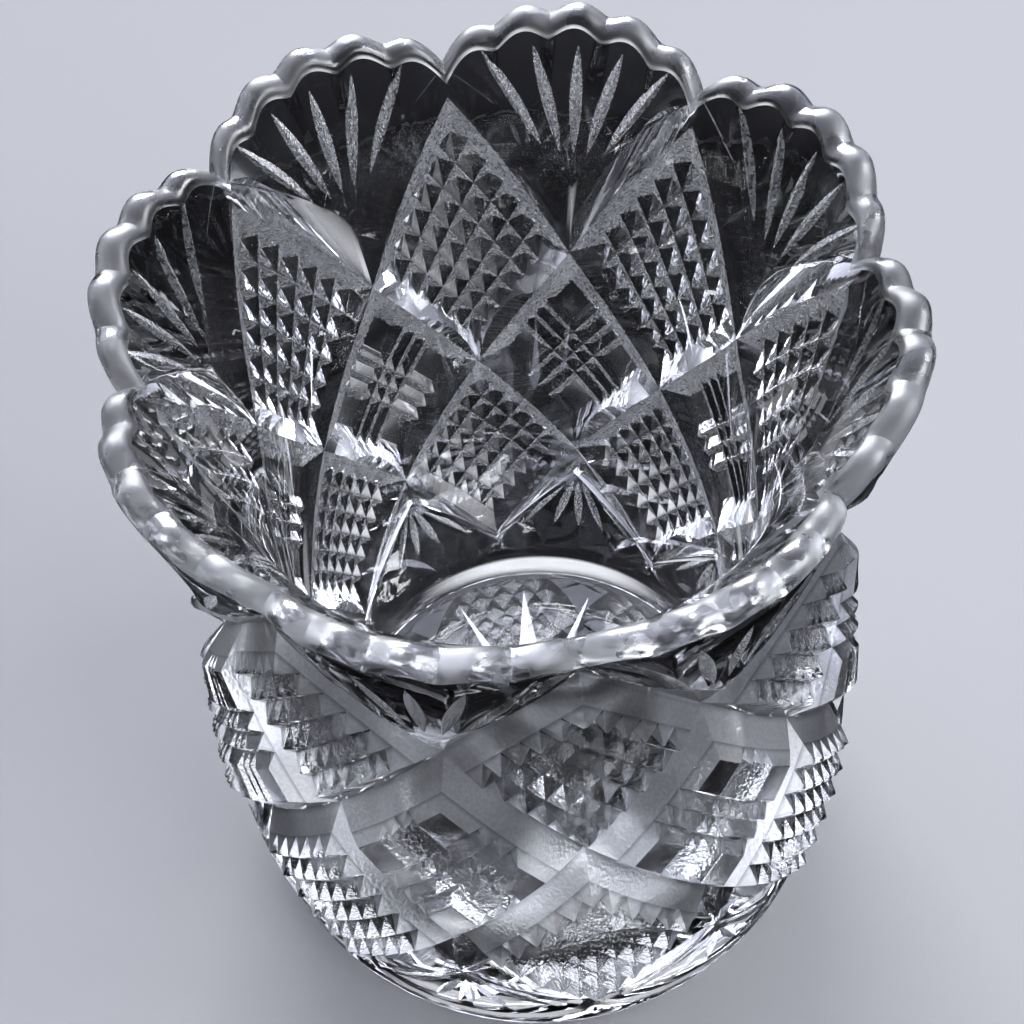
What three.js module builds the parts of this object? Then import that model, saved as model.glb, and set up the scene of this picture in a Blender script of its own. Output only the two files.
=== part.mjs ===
// Pressed-glass toothpick holder: one piece of clear glass, formed in one pressing.
// The plunger leaves a smooth, drafted well. The mould leaves the cut-glass pattern on the
// outside: a lattice of mitre grooves round three rows of raised diamonds, a fan of rays
// above and below them, a scalloped rim, and a star under the foot.
// Millimetres, +Z up. The origin is the centre of the foot, on the table.
import * as THREE from "three";

// Outline of the groove floor, from the foot to the rim
const FOOT_RADIUS = 22;
const BELLY_RADIUS = 23.1;
const BELLY_HEIGHT = 17;
const WAIST_RADIUS = 20.5;
const WAIST_HEIGHT = 45.5;
const MOUTH_RADIUS = 23;

// Rim: large lobes, each edged with small scallops
const NOTCH_HEIGHT = 61;
const LOBES = 8;
const LOBE_RISE = 2.3;
const LOBE_FULLNESS = 0.75;
const SCALLOPS_PER_LOBE = 5;
const SCALLOP_RISE = 0.6;
const RIM_ROUNDING = 0.9;

// Walls, from the groove floor to the well, and the floor of the well
const RIM_WALL = 1.5;
const WAIST_WALL = 3.7;
const BELLY_WALL = 6.8;
const FLOOR_THICKNESS = 6;
const WELL_FILLET = 1.8;

// Raised diamonds between the mitre grooves
const RIM_MARGIN = 2.8; // from the notches down to the first crossings
const DIAMOND_ROWS = 3;
const DIAMOND_RELIEF = 2.2;
const DIAMOND_BEVEL = 2.35;
const POINTS_PER_SIDE = 6;
const HATCH_GROOVES = 3;
const HATCH_PITCH = 1.56;

// Fans of spindle-shaped rays, under the rim and over the foot. The crest of a fan runs from
// its apex to the ends of its grooves, and the panel bulges between them.
const FAN_RELIEF = 1.8;
const FAN_NOTCH_RELIEF = 0.4; // at both ends of the crest
const FAN_MITRE = 4.8; // from the fan's crossing to its apex, up or down
const FAN_FOCUS = 3; // from the fan's crossing to where its rays would meet
const FAN_LEAN = 28; // degrees, of the outer rays
const FAN_RAY_INSET = 2.4; // from the apex to the rays, up or down
const FAN_RAY_MARGIN = 2.6; // from the rays to the far edge
const FOOT_FAN_RELIEF = 1.3;
const FOOT_FAN_NOTCH_RELIEF = 0.6;
const FOOT_FAN_MITRE = 4.4;
const FOOT_FAN_NOTCH_MITRE = 1; // at both ends of the crest
const FOOT_FAN_FOCUS = 4.6;
const FOOT_FAN_LEAN = 37;
const FOOT_FAN_RAY_INSET = 1.6;
const FOOT_FAN_RAY_MARGIN = 4.8;
const FAN_FULLNESS = 0.8; // of the bulge across a panel
const FAN_RAYS = 5;
const RAY_WIDTH = 0.9;
const RAY_DEPTH = 0.45;
const RAY_SPREAD = 0.9; // of the panel's far edge, by the facets between the rays

// Foot, with a star pressed in its underside
const FOOT_EDGE_HEIGHT = 2.6;
const FOOT_EDGE_ROUNDING = 1.9;
const FOOT_BAND = 3.6;
const STANDING_RING_WIDTH = 3.4;
const RECESS_DEPTH = 0.9;
const RECESS_CHAMFER = 0.6;
const STAR_RAYS = 16;
const STAR_MARGIN = 2.4; // from the star's tips to the recess wall
const STAR_WAIST_RADIUS = 6.4;
const STAR_DEPTH = 1;
const STAR_TURN = 6; // degrees, from the lattice

// Fineness of the facets
const GROOVE_STEPS = 4;
const STEPS_PER_SCALLOP = 4;
const RIM_ARC_STEPS = 4;
const FLARE_STEPS = 4;
const FILLET_STEPS = 3;
const FOOT_ARC_STEPS = 3;
const RING_COLUMNS = 80;
const MERGE_DISTANCE = 1e-4;
const HALVINGS = 40;

const RIM_TOP = NOTCH_HEIGHT + LOBE_RISE + SCALLOP_RISE;
const HALF_LOBE = Math.PI / LOBES; // one column of the lattice, as an angle
const EDGE_STEPS = SCALLOPS_PER_LOBE * STEPS_PER_SCALLOP;
const TOP_LEVEL = NOTCH_HEIGHT - RIM_MARGIN;
const LOW_LEVEL = FOOT_EDGE_HEIGHT + FOOT_BAND + FOOT_FAN_NOTCH_MITRE;
const LEVELS = DIAMOND_ROWS + 1;
const LEVEL_PITCH = (TOP_LEVEL - LOW_LEVEL) / LEVELS;
const COLUMN_WIDTH = BELLY_RADIUS * HALF_LOBE;
const DIAMOND_ACROSS = (2 * COLUMN_WIDTH * LEVEL_PITCH) / Math.hypot(COLUMN_WIDTH, LEVEL_PITCH);

const { lerp, degToRad } = THREE.MathUtils;
const counted = (count) => Array.from({ length: count }, (_, i) => i);
const steps = (count) => counted(count + 1).map((i) => i / count);
const polar = (radius, angle, z) =>
  new THREE.Vector3(radius * Math.sin(angle), radius * Math.cos(angle), z);

const grooveOutline = new THREE.SplineCurve([
  new THREE.Vector2(FOOT_RADIUS, 0),
  new THREE.Vector2(BELLY_RADIUS, BELLY_HEIGHT),
  new THREE.Vector2(WAIST_RADIUS, WAIST_HEIGHT),
  new THREE.Vector2(MOUTH_RADIUS, RIM_TOP),
]);

// Radius of the groove floor at a height, found by halving along its outline.
function grooveRadius(z) {
  let [low, high] = [0, 1];
  for (let i = 0; i < HALVINGS; i++) {
    const middle = (low + high) / 2;
    if (grooveOutline.getPoint(middle).y < z) low = middle;
    else high = middle;
  }
  return grooveOutline.getPoint(low).x;
}

// Radius of the well: a straight draft to the waist, and a growing flare above it.
function wellRadius(z) {
  const floorRadius = BELLY_RADIUS - BELLY_WALL;
  const waistRadius = WAIST_RADIUS - WAIST_WALL;
  const draft = (height) =>
    lerp(floorRadius, waistRadius, (height - FLOOR_THICKNESS) / (WAIST_HEIGHT - FLOOR_THICKNESS));
  const flare = Math.max(0, (z - WAIST_HEIGHT) / (RIM_TOP - WAIST_HEIGHT));
  return draft(z) + (MOUTH_RADIUS + FAN_RELIEF - RIM_WALL - draft(RIM_TOP)) * flare ** 2;
}

// A place on the outside is [column, level, relief]: columns count half lobes round the
// glass, levels count rows of crossings down from the rim, and relief stands on the grooves.
const levelAt = (z) => (TOP_LEVEL - z) / LEVEL_PITCH;
function outside([column, level, relief]) {
  const z = TOP_LEVEL - level * LEVEL_PITCH;
  return polar(grooveRadius(z) + relief, column * HALF_LOBE, z);
}
const run = (from, to) =>
  steps(GROOVE_STEPS).map((t) => outside(from.map((value, i) => lerp(value, to[i], t))));

// For each point of a line, its share of the line's length.
function shareAlong(line) {
  const reached = [0];
  for (let i = 1; i < line.length; i++) {
    reached.push(reached[i - 1] + line[i].distanceTo(line[i - 1]));
  }
  return reached.map((length) => length / (reached.at(-1) || 1));
}

// The skin of the glass, collected strip by strip.
class Skin {
  positions = [];
  triangles = [];
  corners = new Map();

  corner(point) {
    const place = point.toArray();
    const key = place.map((value) => Math.round(value / MERGE_DISTANCE)).join();
    if (!this.corners.has(key)) {
      this.corners.set(key, this.corners.size);
      this.positions.push(...place);
    }
    return this.corners.get(key);
  }

  triangle(...points) {
    const [a, b, c] = points.map((point) => this.corner(point));
    if (a !== b && b !== c && c !== a) this.triangles.push(a, b, c);
  }

  // Fills the strip between two lines of points that run the same way. Seen from inside
  // the glass, looking out with both lines running down, the first line is on the left.
  band(first, second) {
    const [shareFirst, shareSecond] = [shareAlong(first), shareAlong(second)];
    let [i, j] = [0, 0];
    while (i < first.length - 1 || j < second.length - 1) {
      const secondDone = j === second.length - 1;
      const firstLeft = i < first.length - 1;
      if (secondDone || (firstLeft && shareFirst[i + 1] <= shareSecond[j + 1])) {
        this.triangle(first[i], second[j], first[++i]);
      } else {
        this.triangle(first[i], second[j], second[++j]);
      }
    }
  }

  geometry() {
    const made = new THREE.BufferGeometry();
    made.setAttribute("position", new THREE.Float32BufferAttribute(this.positions, 3));
    made.setIndex(this.triangles);
    made.computeVertexNormals();
    return made;
  }
}

// What stands between the V grooves along a diamond's side, each [start, end] as a share
// of the side: points in the dotted diamonds, and in the hatched ones two narrow ridges
// between plain blocks.
const BEVEL_SHARE = DIAMOND_BEVEL / DIAMOND_ACROSS;
function dottedTops() {
  return steps(POINTS_PER_SIDE - 1).map((t) => {
    const tip = lerp(BEVEL_SHARE, 1 - BEVEL_SHARE, t);
    return [tip, tip];
  });
}
function hatchedTops() {
  const pitch = HATCH_PITCH / DIAMOND_ACROSS;
  const block = (1 - HATCH_GROOVES * pitch) / 2;
  const ridges = steps(HATCH_GROOVES)
    .slice(1, -1)
    .map((t) => lerp(block, 1 - block, t));
  return [[BEVEL_SHARE, block], ...ridges.map((tip) => [tip, tip]), [1 - block, 1 - BEVEL_SHARE]];
}

// A raised diamond centred on a place of the lattice. V grooves as steep as its bevels
// cross its top both ways.
function addDiamond(skin, column, level, tops) {
  const halfGroove = (tops[1][0] - tops[0][1]) / 2;
  const bed = DIAMOND_RELIEF * (1 - halfGroove / BEVEL_SHARE);
  const crest = DIAMOND_RELIEF;
  const at = (u, v, relief) => outside([column + u - v, level - 1 + u + v, relief]);
  // A place on each of the four sides in turn: along the side, then in from it.
  const sides = [
    (along, inward, relief) => at(along, inward, relief),
    (along, inward, relief) => at(1 - inward, along, relief),
    (along, inward, relief) => at(1 - along, 1 - inward, relief),
    (along, inward, relief) => at(inward, 1 - along, relief),
  ];
  for (const side of sides) {
    const edge = steps(GROOVE_STEPS).map((t) => side(t, 0, 0));
    const lowest = BEVEL_SHARE - halfGroove;
    const starts = tops.map(([start]) => start - halfGroove);
    const valleys = [...starts, 1 - lowest].map((along) => side(along, lowest, bed));
    skin.band(valleys, edge);
    tops.forEach(([start, end], i) => {
      const tooth = [side(start, BEVEL_SHARE, crest), side(end, BEVEL_SHARE, crest)];
      skin.band(tooth, [valleys[i], valleys[i + 1]]);
    });
    for (const [start, end] of tops) {
      for (const [near] of tops.slice(1)) {
        const ridge = [side(start, near, crest), side(end, near, crest)];
        const valley = [
          side(start - halfGroove, near - halfGroove, bed),
          side(end + halfGroove, near - halfGroove, bed),
        ];
        skin.band(ridge, valley);
      }
    }
  }
  for (const [left, right] of tops) {
    for (const [top, bottom] of tops) {
      skin.band(
        [at(left, bottom, crest), at(right, bottom, crest)],
        [at(left, top, crest), at(right, top, crest)],
      );
    }
  }
}

// Relief of a fan's panel across it, from its middle to the end of its crest.
const bulge = (share, relief, notchRelief) =>
  lerp(notchRelief, relief, Math.cos((Math.PI / 2) * share) ** FAN_FULLNESS);

// A ray of a fan: a spindle-shaped V groove sunk in the panel.
function makeRay(column, [focus, start, end], lean, relief) {
  const slope = Math.tan(degToRad(lean)) / COLUMN_WIDTH;
  const place = (z, aside, sunk) => {
    const offset = slope * Math.abs(z - focus) + aside;
    return outside([column + offset, levelAt(z), relief(Math.abs(offset)) - sunk]);
  };
  const middle = (start + end) / 2;
  const halfWidth = RAY_WIDTH / 2 / COLUMN_WIDTH;
  return {
    start: place(start, 0, 0),
    left: place(middle, -halfWidth, 0),
    bed: place(middle, 0, RAY_DEPTH),
    right: place(middle, halfWidth, 0),
    end: place(end, 0, 0),
  };
}

// A fan: a raised panel that widens from its apex to a far edge, with mitre bevels on both
// sides and rays sunk in it. Each side has its groove and its crest, and the part of them
// that bounds the panel, all running from the apex. The edge runs from left to right, as
// seen from the well.
function addFan(skin, { left, right, rays, edge, opensDown }) {
  const lay = (a, b) => (opensDown ? skin.band(a, b) : skin.band(b, a));
  lay(left.groove, left.crest);
  lay(right.crest, right.groove);
  const last = edge.length - 1;
  const apex = left.panel[0];
  let line = left.panel;
  let reached = 0;
  rays.forEach((ray, i) => {
    const target = Math.round(last * lerp(0.5, (i + 1) / (rays.length + 1), RAY_SPREAD));
    const tail = [ray.end, edge[target]];
    lay([...line, ...edge.slice(reached + 1, target + 1)], [apex, ray.start, ray.left, ...tail]);
    lay([ray.start, ray.left, ray.end], [ray.start, ray.bed, ray.end]);
    lay([ray.start, ray.bed, ray.end], [ray.start, ray.right, ray.end]);
    line = [apex, ray.start, ray.right, ...tail];
    reached = target;
  });
  lay(line, [...right.panel, ...edge.slice(reached, last).reverse()]);
}

// The crest of a fan, from its apex to the end of its groove on one side.
function fanCrest(column, side, apexLevel, endLevel, relief) {
  return steps(GROOVE_STEPS).map((t) =>
    outside([column + side * t, lerp(apexLevel, endLevel, t), relief(t)]),
  );
}

const rayTurns = steps(FAN_RAYS - 1).map((t) => 2 * t - 1);

// Height and relief of the rim's outer edge: a lobe stands between two notches.
const rimRelief = (share) => bulge(share, FAN_RELIEF, FAN_NOTCH_RELIEF);
function rimHeight(share) {
  const lobe = Math.sin(Math.PI * share) ** LOBE_FULLNESS;
  const scallop = Math.abs(Math.sin(Math.PI * share * SCALLOPS_PER_LOBE));
  return NOTCH_HEIGHT + LOBE_RISE * lobe + SCALLOP_RISE * scallop;
}
function rimEdge(column) {
  return steps(EDGE_STEPS).map((t) => {
    const aside = 2 * t - 1;
    const z = rimHeight(t) - RIM_ROUNDING;
    return outside([column + aside, levelAt(z), rimRelief(Math.abs(aside))]);
  });
}

function addRimFan(skin, column) {
  const edge = rimEdge(column);
  const crossing = TOP_LEVEL - LEVEL_PITCH;
  const apexHeight = crossing + FAN_MITRE;
  const side = (sign, notch) => {
    const crest = fanCrest(column, sign, levelAt(apexHeight), levelAt(notch.z), rimRelief);
    return {
      groove: [...run([column, 1, 0], [column + sign, 0, 0]), notch],
      crest,
      panel: crest,
    };
  };
  const lobeTop = rimHeight(0.5) - RIM_ROUNDING;
  const heights = [crossing + FAN_FOCUS, apexHeight + FAN_RAY_INSET, lobeTop - FAN_RAY_MARGIN];
  addFan(skin, {
    left: side(-1, edge[0]),
    right: side(1, edge.at(-1)),
    rays: rayTurns.map((turn) => makeRay(column, heights, FAN_LEAN * turn, rimRelief)),
    edge,
    opensDown: false,
  });
}

function footEdge(column) {
  return steps(EDGE_STEPS).map((t) =>
    outside([column - 1 + 2 * t, levelAt(FOOT_EDGE_HEIGHT), FOOT_FAN_RELIEF]),
  );
}

function addFootFan(skin, column) {
  const edge = footEdge(column);
  const crossing = TOP_LEVEL - DIAMOND_ROWS * LEVEL_PITCH;
  const apexHeight = crossing - FOOT_FAN_MITRE;
  const notchLevel = levelAt(LOW_LEVEL - FOOT_FAN_NOTCH_MITRE);
  const relief = (share) => bulge(share, FOOT_FAN_RELIEF, FOOT_FAN_NOTCH_RELIEF);
  const side = (sign, corner) => {
    const crest = fanCrest(column, sign, levelAt(apexHeight), notchLevel, relief);
    const groove = run([column, DIAMOND_ROWS, 0], [column + sign, LEVELS, 0]);
    return { groove: [...groove, crest.at(-1)], crest, panel: [...crest, corner] };
  };
  const heights = [
    crossing - FOOT_FAN_FOCUS,
    apexHeight - FOOT_FAN_RAY_INSET,
    FOOT_EDGE_HEIGHT + FOOT_FAN_RAY_MARGIN,
  ];
  addFan(skin, {
    left: side(-1, edge[0]),
    right: side(1, edge.at(-1)),
    rays: rayTurns.map((turn) => makeRay(column, heights, FOOT_FAN_LEAN * turn, relief)),
    edge,
    opensDown: true,
  });
}

const ring = (radius, z, columns = RING_COLUMNS) =>
  steps(columns).map((t) => polar(radius, 2 * Math.PI * t, z));
const lobeColumns = counted(LOBES).map((lobe) => 2 * lobe);

// The rounded rim, from the outer edge over the top to the well, and the well below it.
function addRimAndWell(skin) {
  const outer = lobeColumns.flatMap((column) => rimEdge(column + 1).slice(column ? 1 : 0));
  const rimRing = (turn) =>
    outer.map((point) => {
      const outerRadius = Math.hypot(point.x, point.y);
      const innerRadius = wellRadius(point.z);
      const middle = (outerRadius + innerRadius) / 2;
      const radius = middle + (outerRadius - middle) * Math.cos(turn);
      return polar(radius, Math.atan2(point.x, point.y), point.z + RIM_ROUNDING * Math.sin(turn));
    });
  const rings = steps(RIM_ARC_STEPS).map((t) => (t ? rimRing(Math.PI * t) : outer));
  const lowestRim = NOTCH_HEIGHT - 2 * RIM_ROUNDING;
  for (const t of steps(FLARE_STEPS)) {
    const z = lerp(lowestRim, WAIST_HEIGHT, t);
    rings.push(ring(wellRadius(z), z));
  }
  const filletTop = FLOOR_THICKNESS + WELL_FILLET;
  for (const t of steps(FILLET_STEPS)) {
    const turn = (Math.PI / 2) * t;
    const radius = wellRadius(filletTop) - WELL_FILLET * (1 - Math.cos(turn));
    rings.push(ring(radius, filletTop - WELL_FILLET * Math.sin(turn)));
  }
  rings.push([polar(0, 0, FLOOR_THICKNESS)]);
  for (let i = 0; i + 1 < rings.length; i++) skin.band(rings[i], rings[i + 1]);
}

// The rounded edge of the foot, the ring it stands on, and the recess with its star.
function addFoot(skin) {
  const outer = lobeColumns.flatMap((column) => footEdge(column + 1).slice(column ? 1 : 0));
  const outerRadius = grooveRadius(FOOT_EDGE_HEIGHT) + FOOT_FAN_RELIEF;
  const rings = [outer];
  for (const t of steps(FOOT_ARC_STEPS).slice(1)) {
    const turn = (Math.PI / 2) * t;
    const radius = outerRadius - FOOT_EDGE_ROUNDING * (1 - Math.cos(turn));
    rings.push(ring(radius, FOOT_EDGE_HEIGHT * (1 - Math.sin(turn))));
  }
  const ringInner = outerRadius - FOOT_EDGE_ROUNDING - STANDING_RING_WIDTH;
  const recessRadius = ringInner - RECESS_CHAMFER;
  rings.push(ring(ringInner, 0), ring(recessRadius, RECESS_DEPTH));

  const starAt = (radius, ray, z) =>
    polar(radius, degToRad(STAR_TURN) + (2 * Math.PI * ray) / STAR_RAYS, z);
  const tip = (ray) => starAt(recessRadius - STAR_MARGIN, ray, RECESS_DEPTH);
  const waist = (ray) => starAt(STAR_WAIST_RADIUS, ray + 0.5, RECESS_DEPTH);
  const rayNumbers = counted(STAR_RAYS);
  rings.push([...rayNumbers.flatMap((ray) => [tip(ray), waist(ray)]), tip(STAR_RAYS)]);
  for (let i = 0; i + 1 < rings.length; i++) skin.band(rings[i + 1], rings[i]);

  const centre = polar(0, 0, RECESS_DEPTH + STAR_DEPTH / 2);
  for (const ray of rayNumbers) {
    const bed = starAt(STAR_WAIST_RADIUS, ray, RECESS_DEPTH + STAR_DEPTH);
    skin.band([bed], [waist(ray - 1), tip(ray), waist(ray)]);
    skin.band([centre], [waist(ray - 1), bed, waist(ray)]);
  }
}

function makeGlassBody() {
  const skin = new Skin();
  for (const column of lobeColumns) {
    for (let row = 1; row <= DIAMOND_ROWS; row++) {
      const hatched = row % 2 === 0;
      addDiamond(skin, hatched ? column + 1 : column, row, hatched ? hatchedTops() : dottedTops());
    }
    addRimFan(skin, column + 1);
    addFootFan(skin, column + 1);
  }
  addRimAndWell(skin);
  addFoot(skin);
  const glass = new THREE.MeshStandardMaterial({
    color: 0xeef2f4,
    roughness: 0.04,
    metalness: 0,
    transparent: true,
    opacity: 0.35,
  });
  const body = new THREE.Mesh(skin.geometry(), glass);
  body.name = "glass_body";
  return body;
}

const holder = new THREE.Group();
holder.add(makeGlassBody());

export default holder;
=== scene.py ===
"""Clear pressed-glass toothpick holder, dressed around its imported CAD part.

The glass is one closed mesh. One lobe of it, with its share of the well, the rim, the
diamonds, the fans and the foot, is built here facet by facet, and a Geometry Nodes tree
repeats that lobe round the axis and welds the copies into the holder.
"""

from __future__ import annotations

import logging
import math
from collections.abc import Callable, Sequence
from dataclasses import dataclass, field
from enum import Enum
from typing import Union

import bmesh
import bpy
import numpy as np
from mathutils import Matrix, Vector

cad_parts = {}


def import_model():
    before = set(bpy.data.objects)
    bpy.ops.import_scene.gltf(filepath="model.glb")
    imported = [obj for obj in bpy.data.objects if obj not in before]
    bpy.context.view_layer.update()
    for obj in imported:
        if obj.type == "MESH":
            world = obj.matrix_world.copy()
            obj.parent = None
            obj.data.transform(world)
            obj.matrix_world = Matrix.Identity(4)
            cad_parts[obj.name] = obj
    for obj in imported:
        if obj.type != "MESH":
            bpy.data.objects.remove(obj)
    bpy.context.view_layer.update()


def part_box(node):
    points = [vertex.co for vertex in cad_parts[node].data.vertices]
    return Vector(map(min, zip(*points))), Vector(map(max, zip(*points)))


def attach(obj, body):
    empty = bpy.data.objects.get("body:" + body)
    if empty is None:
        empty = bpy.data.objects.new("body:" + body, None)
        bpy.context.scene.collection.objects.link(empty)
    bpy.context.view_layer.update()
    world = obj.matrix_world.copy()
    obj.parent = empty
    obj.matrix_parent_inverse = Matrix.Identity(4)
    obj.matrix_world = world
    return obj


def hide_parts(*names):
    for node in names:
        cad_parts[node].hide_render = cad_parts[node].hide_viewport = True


MM = 0.001
TINY = 1e-9
GLASS_NODE = "glass_body"
ROOT_BODY = "root"

Point = tuple[float, float, float]
Line = list[Point]
Samples = list[tuple[float, float]]
Colour = tuple[float, float, float, float]
Socket = bpy.types.NodeSocket
Feed = Union[Socket, float, Sequence[float]]
log = logging.getLogger("toothpick_holder")


def mix(low: float, high: float, share: float) -> float:
    """Returns the value that lies a share of the way from low to high."""
    return low + (high - low) * share


def steps(count: int) -> list[float]:
    """Returns the shares 0, 1/count, ... 1."""
    return [i / count for i in range(count + 1)]


@dataclass(frozen=True)
class Wiring:
    """A node tree, with short ways to add nodes and feed their inputs."""

    tree: bpy.types.NodeTree

    def feed(self, node: bpy.types.Node, feeds: dict[str | int, Feed]) -> None:
        """Feeds a node's inputs.

        Args:
            node: The node.
            feeds: For each input, another node's output or a plain value.
        """
        for key, value in feeds.items():
            if isinstance(value, Socket):
                self.tree.links.new(value, node.inputs[key])
            else:
                node.inputs[key].default_value = value

    def add(
        self, kind: str, feeds: dict[str | int, Feed] | None = None, **settings: str
    ) -> bpy.types.Node:
        """Adds a node.

        Args:
            kind: Type of the node.
            feeds: What its inputs are fed with.
            settings: Its own options.

        Returns:
            The node.
        """
        node = self.tree.nodes.new(kind)
        for name, value in settings.items():
            setattr(node, name, value)
        self.feed(node, feeds or {})
        return node

    def attribute(self, name: str) -> Socket:
        """Returns an attribute of the mesh."""
        return self.add("ShaderNodeAttribute", attribute_name=name).outputs["Fac"]

    def noise(self, place: Socket, scale: float) -> Socket:
        """Returns a noise over a place."""
        feeds = {"Vector": place, "Scale": scale}
        return self.add("ShaderNodeTexNoise", feeds).outputs["Fac"]

    def math(self, operation: str, first: Feed, second: Feed) -> Socket:
        """Returns the result of an operation on two values."""
        feeds = {0: first, 1: second}
        return self.add("ShaderNodeMath", feeds, operation=operation).outputs[0]

    def ranged(
        self,
        value: Socket,
        span: tuple[float, float] = (0.0, 1.0),
        to: tuple[Feed, Feed] = (0.0, 1.0),
        how: str = "LINEAR",
    ) -> Socket:
        """Maps a value from one span to another, and keeps it inside that.

        Args:
            value: The value.
            span: Where it starts and ends.
            to: What it becomes there.
            how: How it goes from the one to the other.

        Returns:
            The mapped value.
        """
        feeds = {
            "Value": value,
            "From Min": span[0],
            "From Max": span[1],
            "To Min": to[0],
            "To Max": to[1],
        }
        node = self.add("ShaderNodeMapRange", feeds, interpolation_type=how)
        return node.outputs["Result"]

    def blend(self, share: Socket, first: Feed, second: Feed, how: str = "MIX") -> Socket:
        """Blends two colours.

        Args:
            share: Share of the second colour.
            first: The first colour.
            second: The second colour.
            how: How the second is laid on the first.

        Returns:
            The blended colour.
        """
        feeds = {"Factor": share, "A": first, "B": second}
        node = self.add("ShaderNodeMix", feeds, data_type="RGBA", blend_type=how)
        return node.outputs["Result"]


class Surface(Enum):
    """What a facet of the glass was formed by, which sets its grain."""

    POLISHED = 0.0
    MOULDED = 0.1
    RIM = 0.55
    POINT = 0.8
    RAY = 0.95
    CUT = 1.0


@dataclass(frozen=True)
class Wall:
    """Outline of the glass, in millimetres: the groove floor outside, the well inside."""

    foot_radius: float = 22.0
    belly_radius: float = 23.1
    belly_height: float = 17.0
    waist_radius: float = 20.5
    waist_height: float = 45.5
    mouth_radius: float = 23.0
    rim_top: float = 63.9
    rim_wall: float = 1.5
    rim_relief: float = 1.8
    waist_wall: float = 3.7
    belly_wall: float = 6.8
    floor_thickness: float = 6.0
    samples: int = 400

    def groove_table(self) -> tuple[np.ndarray, np.ndarray]:
        """Samples the Catmull-Rom outline of the groove floor.

        Returns:
            The heights and the radii of the samples.
        """
        knots = np.array(
            [
                (self.foot_radius, 0.0),
                (self.belly_radius, self.belly_height),
                (self.waist_radius, self.waist_height),
                (self.mouth_radius, self.rim_top),
            ]
        )
        padded = np.vstack([knots[:1], knots, knots[-1:]])
        shares = np.linspace(0.0, len(knots) - 1.0, self.samples)
        spans = np.minimum(shares.astype(int), len(knots) - 2)
        t = (shares - spans)[:, None]
        a, b, c, d = (padded[spans + i] for i in range(4))
        points = 0.5 * (
            2 * b
            + (c - a) * t
            + (2 * a - 5 * b + 4 * c - d) * t**2
            + (3 * b - a - 3 * c + d) * t**3
        )
        return points[:, 1], points[:, 0]

    def well_radius(self, z: float) -> float:
        """Radius of the well: a straight draft to the waist and a growing flare above it.

        Args:
            z: Height above the table.

        Returns:
            The radius at that height.
        """
        floor_radius = self.belly_radius - self.belly_wall
        waist_radius = self.waist_radius - self.waist_wall
        rise = self.waist_height - self.floor_thickness

        def draft(height: float) -> float:
            """Returns the radius of the straight draft."""
            return mix(floor_radius, waist_radius, (height - self.floor_thickness) / rise)

        flare = max(0.0, (z - self.waist_height) / (self.rim_top - self.waist_height))
        mouth = self.mouth_radius + self.rim_relief - self.rim_wall
        return draft(z) + (mouth - draft(self.rim_top)) * flare**2


@dataclass(frozen=True)
class Lattice:
    """The mitre grooves that cross round the outside, and the places between them.

    A place is a column, a level and a relief: columns count half lobes round the glass,
    levels count rows of crossings down from the rim, and relief stands on the grooves.
    """

    wall: Wall
    lobes: int = 8
    rows: int = 3
    top_level: float = 58.2
    low_level: float = 7.2
    groove_steps: int = 20
    groove_rounding: float = 0.16

    def __post_init__(self) -> None:
        """Keeps the sampled outline of the groove floor."""
        heights, radii = self.wall.groove_table()
        object.__setattr__(self, "heights", heights)
        object.__setattr__(self, "radii", radii)

    @property
    def half_lobe(self) -> float:
        """One column, as an angle."""
        return math.pi / self.lobes

    @property
    def column_width(self) -> float:
        """One column at the belly, in millimetres."""
        return self.wall.belly_radius * self.half_lobe

    @property
    def pitch(self) -> float:
        """Height of one level."""
        return (self.top_level - self.low_level) / (self.rows + 1)

    @property
    def diamond_across(self) -> float:
        """Distance between opposite sides of a diamond."""
        slant = math.hypot(self.column_width, self.pitch)
        return 2 * self.column_width * self.pitch / slant

    def groove_radius(self, z: float) -> float:
        """Returns the radius of the groove floor at a height."""
        return float(np.interp(z, self.heights, self.radii))

    def level_at(self, z: float) -> float:
        """Returns the level of a height."""
        return (self.top_level - z) / self.pitch

    def height_at(self, level: float) -> float:
        """Returns the height of a level."""
        return self.top_level - level * self.pitch

    def polar(self, radius: float, column: float, z: float) -> Point:
        """Returns the point at a radius, column and height."""
        angle = column * self.half_lobe
        return (radius * math.sin(angle), radius * math.cos(angle), z)

    def place(self, column: float, level: float, relief: float) -> Point:
        """Returns the point at a place of the outside."""
        z = self.height_at(level)
        return self.polar(self.groove_radius(z) + relief, column, z)

    def arc(self, column: float, radius: float, z: float, count: int) -> Line:
        """Returns an arc across the lobe round a column, from left to right."""
        return [self.polar(radius, column - 1 + 2 * t, z) for t in steps(count)]


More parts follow.
